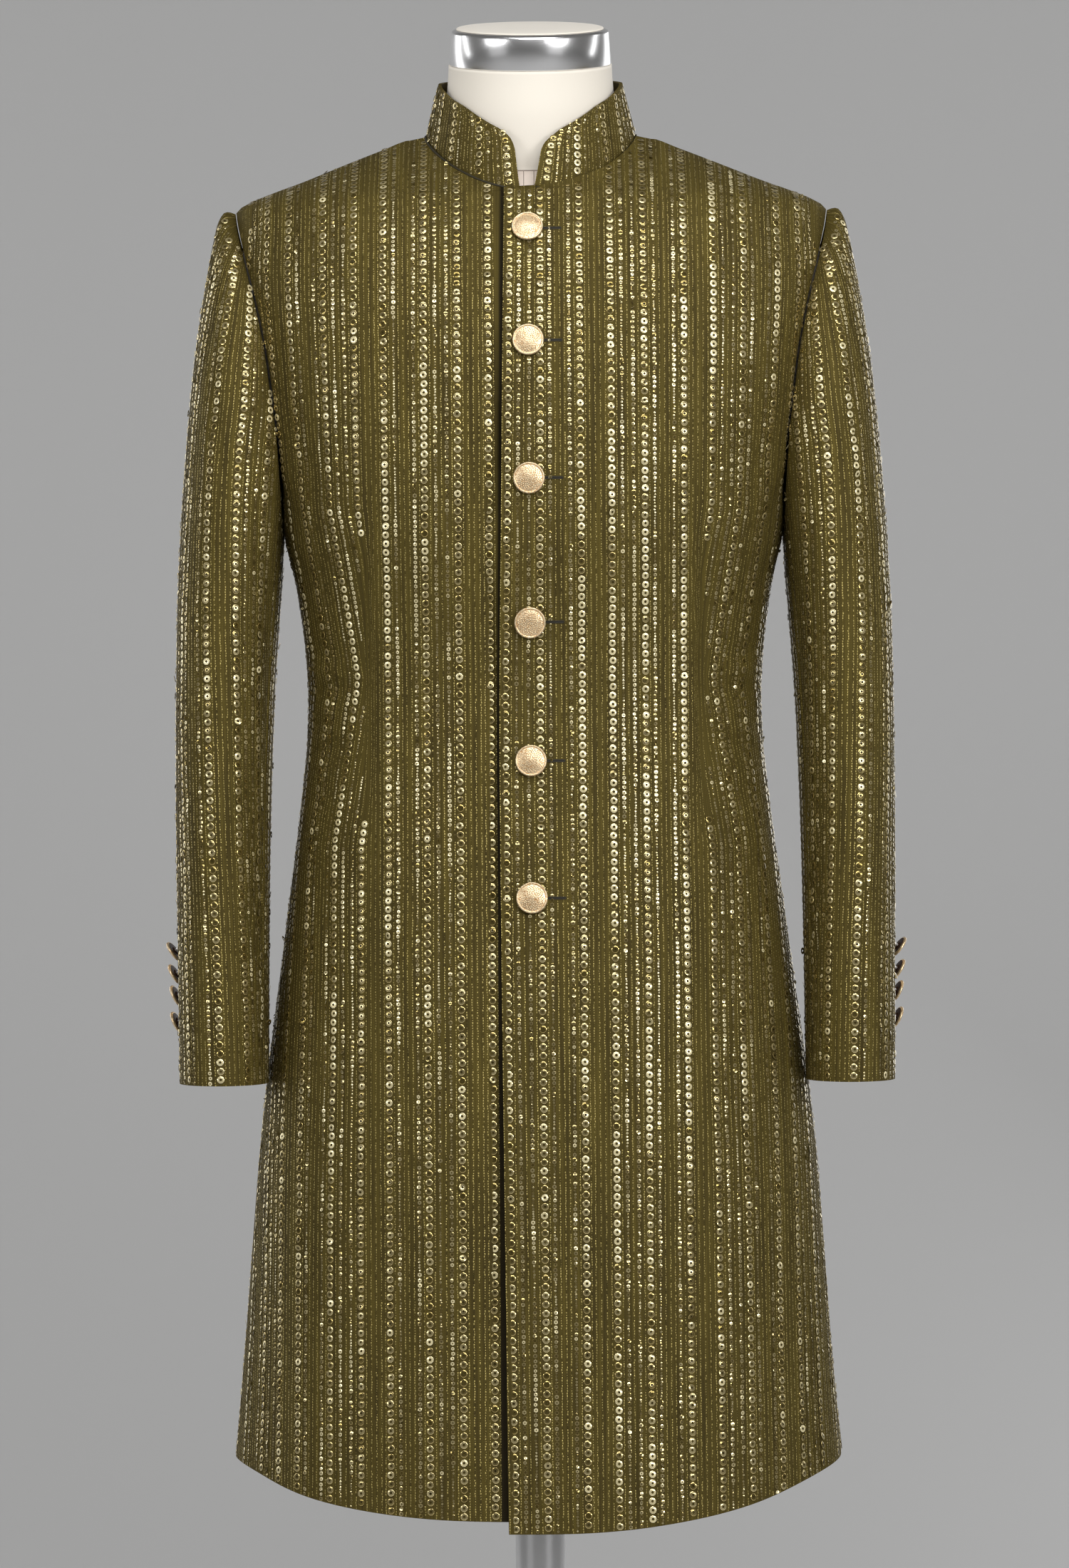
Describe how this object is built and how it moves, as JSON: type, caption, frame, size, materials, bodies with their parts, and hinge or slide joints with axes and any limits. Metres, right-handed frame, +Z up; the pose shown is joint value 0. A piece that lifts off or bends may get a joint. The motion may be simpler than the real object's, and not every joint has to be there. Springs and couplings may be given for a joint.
{
  "type": "sherwani coat on a dress form",
  "caption": "Knee-length olive sherwani coat with a standing collar and sequin stripes, buttoned on a limbless dress form with a metal neck band and a round stand.",
  "frame": {"origin": "on the floor, at the middle of the round base, under the pole", "axes": "+Z up, -Y out of the coat's front, +X towards the wearer's left"},
  "size_m": [0.559, 0.4, 1.5813],
  "materials": {
    "coat_cloth": "olive twill with gold sequin stripes",
    "button_metal": "rose gold, polished",
    "form_cloth": "cream jersey, smooth",
    "chrome": "polished",
    "steel": "satin"
  },
  "bodies": {
    "root": {"front_left": "coat_cloth", "front_right": "coat_cloth", "back": "coat_cloth", "top_sleeve_left": "coat_cloth", "under_sleeve_left": "coat_cloth", "top_sleeve_right": "coat_cloth", "under_sleeve_right": "coat_cloth", "collar": "coat_cloth", "front_button_1": "button_metal", "front_button_2": "button_metal", "front_button_3": "button_metal", "front_button_4": "button_metal", "front_button_5": "button_metal", "front_button_6": "button_metal", "cuff_button_left_1": "button_metal", "cuff_button_left_2": "button_metal", "cuff_button_left_3": "button_metal", "cuff_button_left_4": "button_metal", "cuff_button_right_1": "button_metal", "cuff_button_right_2": "button_metal", "cuff_button_right_3": "button_metal", "cuff_button_right_4": "button_metal", "form_torso": "form_cloth", "neck_band": "chrome", "neck_lid": "form_cloth", "pole": "chrome", "pole_collar": "steel", "base": "steel"}
  },
  "joints": []
}
